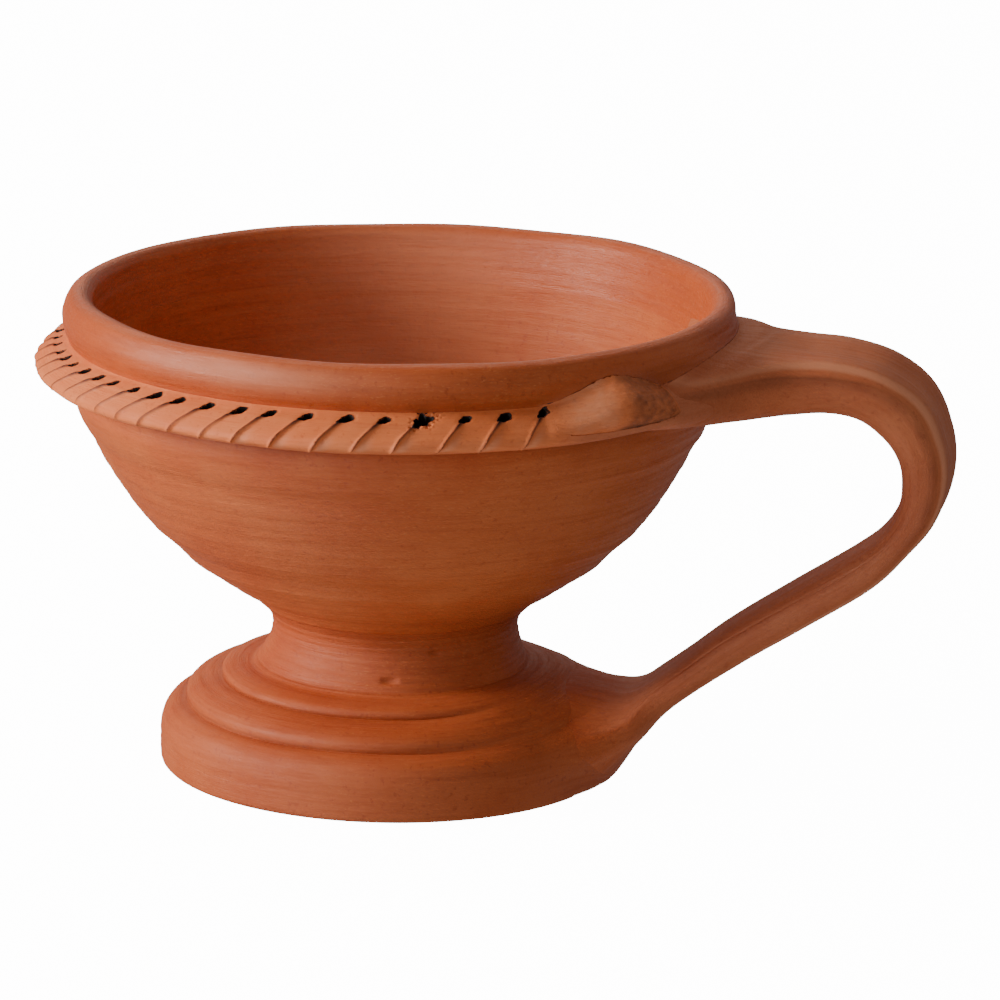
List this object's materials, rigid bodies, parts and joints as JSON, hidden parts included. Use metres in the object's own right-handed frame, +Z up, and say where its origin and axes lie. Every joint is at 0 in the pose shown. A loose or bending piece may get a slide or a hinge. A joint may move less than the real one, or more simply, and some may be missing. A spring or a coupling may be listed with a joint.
{
  "type": "diya oil lamp",
  "caption": "Hand-built terracotta lamp: open bowl with a rolled rim and a band of slanting tool cuts, on a waisted stem and stepped foot, with one strap handle from rim to foot.",
  "frame": {"origin": "centre of the foot ring's underside, on the axis of the bowl, stem and foot", "axes": "+Z up along the lamp's axis, +X towards the handle, the notched band's cuts on the other side"},
  "size_m": [0.1714, 0.135, 0.0902],
  "materials": {
    "terracotta_foot": "matte",
    "terracotta_bowl": "matte",
    "terracotta_rim": "matte",
    "terracotta_band": "matte",
    "terracotta_handle": "matte"
  },
  "bodies": {
    "root": {"foot": "terracotta_foot", "stem": "terracotta_foot", "bowl": "terracotta_bowl", "rim_roll": "terracotta_rim", "notched_band": "terracotta_band", "front_lug": "terracotta_band", "rear_lug": "terracotta_band", "handle_top_root": "terracotta_handle", "handle": "terracotta_handle", "handle_lower_root": "terracotta_handle"}
  },
  "joints": []
}
